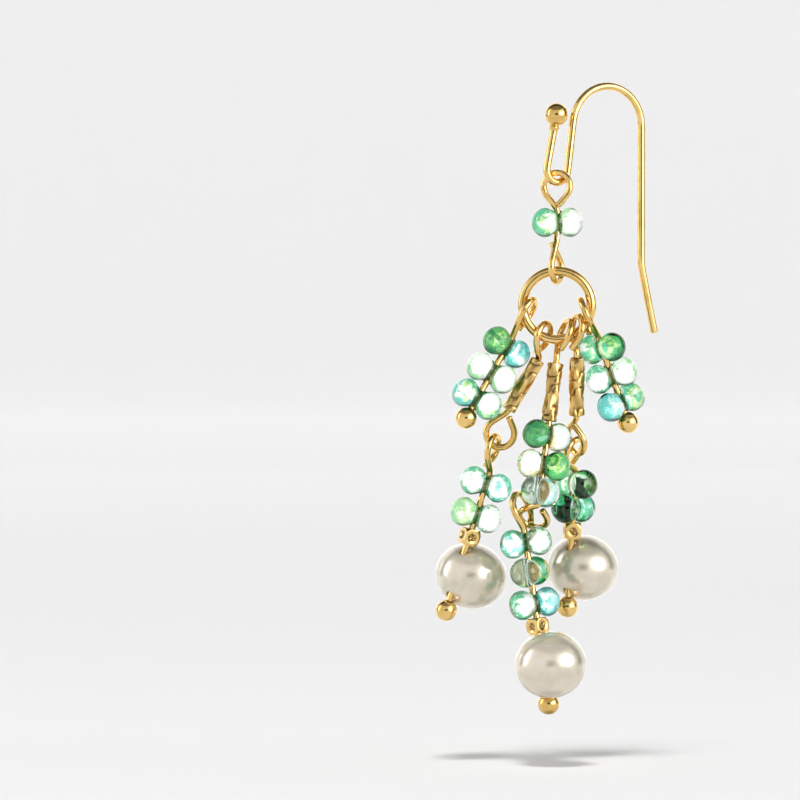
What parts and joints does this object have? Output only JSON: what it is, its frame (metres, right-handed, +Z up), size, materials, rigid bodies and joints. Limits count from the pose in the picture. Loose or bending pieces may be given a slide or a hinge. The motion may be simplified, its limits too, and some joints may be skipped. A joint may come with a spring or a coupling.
{
  "type": "chandelier earring",
  "caption": "Drop earring on a French ear hook: a bead link and a ring that carries five strands of two-lobed glass beads, fluted tubes and pearls.",
  "frame": {"origin": "inside top of the ear hook's arch, where it rests in the ear", "axes": "+Z up, +X to the right of the front view, +Y away from the viewer; the strands hang along -Z"},
  "size_m": [0.0203, 0.0146, 0.0572],
  "materials": {
    "gold": "polished warm gold plating",
    "glass": "clear glass with green, lime and turquoise streaks",
    "pearl": "creamy white nacre, soft sheen"
  },
  "bodies": {
    "hook": {"ear_hook": "gold"},
    "link": {"link_pin": "gold", "link_bead": "glass"},
    "cluster": {"ring": "gold", "left_outer_pin": "gold", "left_outer_bead_1": "glass", "left_outer_bead_2": "glass", "left_outer_bead_3": "glass", "right_outer_pin": "gold", "right_outer_bead_1": "glass", "right_outer_bead_2": "glass", "right_outer_bead_3": "glass", "left_inner_bar_pin": "gold", "left_inner_tube": "gold", "left_inner_drop_pin": "gold", "left_inner_spacer": "gold", "left_inner_pearl": "pearl", "left_inner_bead_1": "glass", "left_inner_bead_2": "glass", "centre_bar_pin": "gold", "centre_tube": "gold", "centre_drop_pin": "gold", "centre_spacer": "gold", "centre_pearl": "pearl", "centre_bead_1": "glass", "centre_bead_2": "glass", "centre_bead_3": "glass", "centre_bead_4": "glass", "centre_bead_5": "glass", "centre_bead_6": "glass", "right_inner_bar_pin": "gold", "right_inner_tube": "gold", "right_inner_drop_pin": "gold", "right_inner_spacer": "gold", "right_inner_pearl": "pearl", "right_inner_bead_1": "glass", "right_inner_bead_2": "glass"}
  },
  "joints": [
    {"name": "link_swing", "type": "hinge", "parent": "hook", "child": "link", "pos_m": [-0.00459, -0.00265, -0.00874], "axis": [0.342, 0.9397, 0], "range_deg": [-45, 45]},
    {"name": "cluster_swing", "type": "hinge", "parent": "link", "child": "cluster", "pos_m": [-0.00459, -0.00265, -0.01634], "axis": [1, 0, 0], "range_deg": [-45, 45]}
  ]
}
